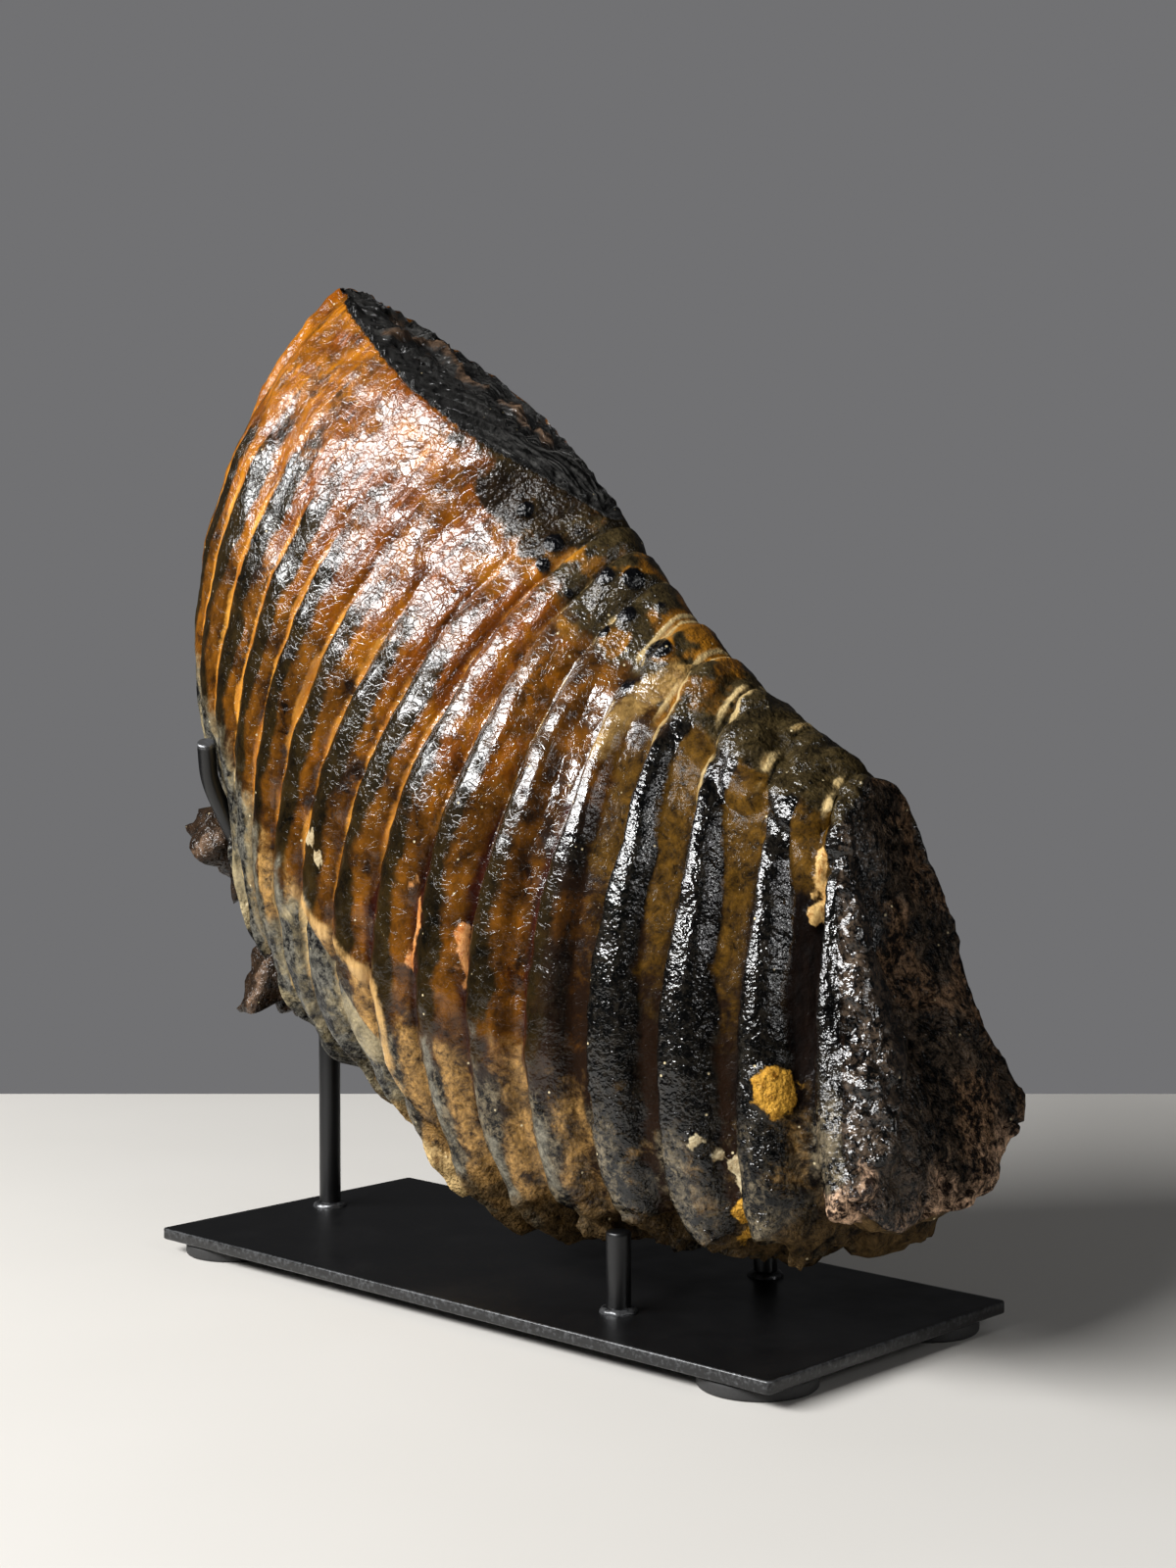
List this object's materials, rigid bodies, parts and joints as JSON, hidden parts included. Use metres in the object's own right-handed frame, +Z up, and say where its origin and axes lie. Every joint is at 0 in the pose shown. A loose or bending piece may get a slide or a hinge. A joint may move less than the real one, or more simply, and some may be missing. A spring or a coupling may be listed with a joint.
{
  "type": "fossil mammoth tooth on stand",
  "caption": "Fossil mammoth molar with ribbed sides and a worn top face, held on a flat steel base by round posts and a bent claw.",
  "frame": {"origin": "middle of the bounding box's underside, on the surface that the feet stand on", "axes": "+X along the base plate towards the tooth's back end, +Y across the plate, +Z up"},
  "size_m": [0.2608, 0.1, 0.2795],
  "materials": {
    "fossil": "mineralised enamel and cement, varnished, amber to black",
    "black_steel": "satin black paint",
    "black_rubber": "matt black rubber"
  },
  "bodies": {
    "root": {"tooth": "fossil", "base_plate": "black_steel", "post_left": "black_steel", "claw": "black_steel", "post_front_right": "black_steel", "post_rear_right": "black_steel", "foot_front_left": "black_rubber", "foot_front_right": "black_rubber", "foot_rear_left": "black_rubber", "foot_rear_right": "black_rubber"}
  },
  "joints": []
}
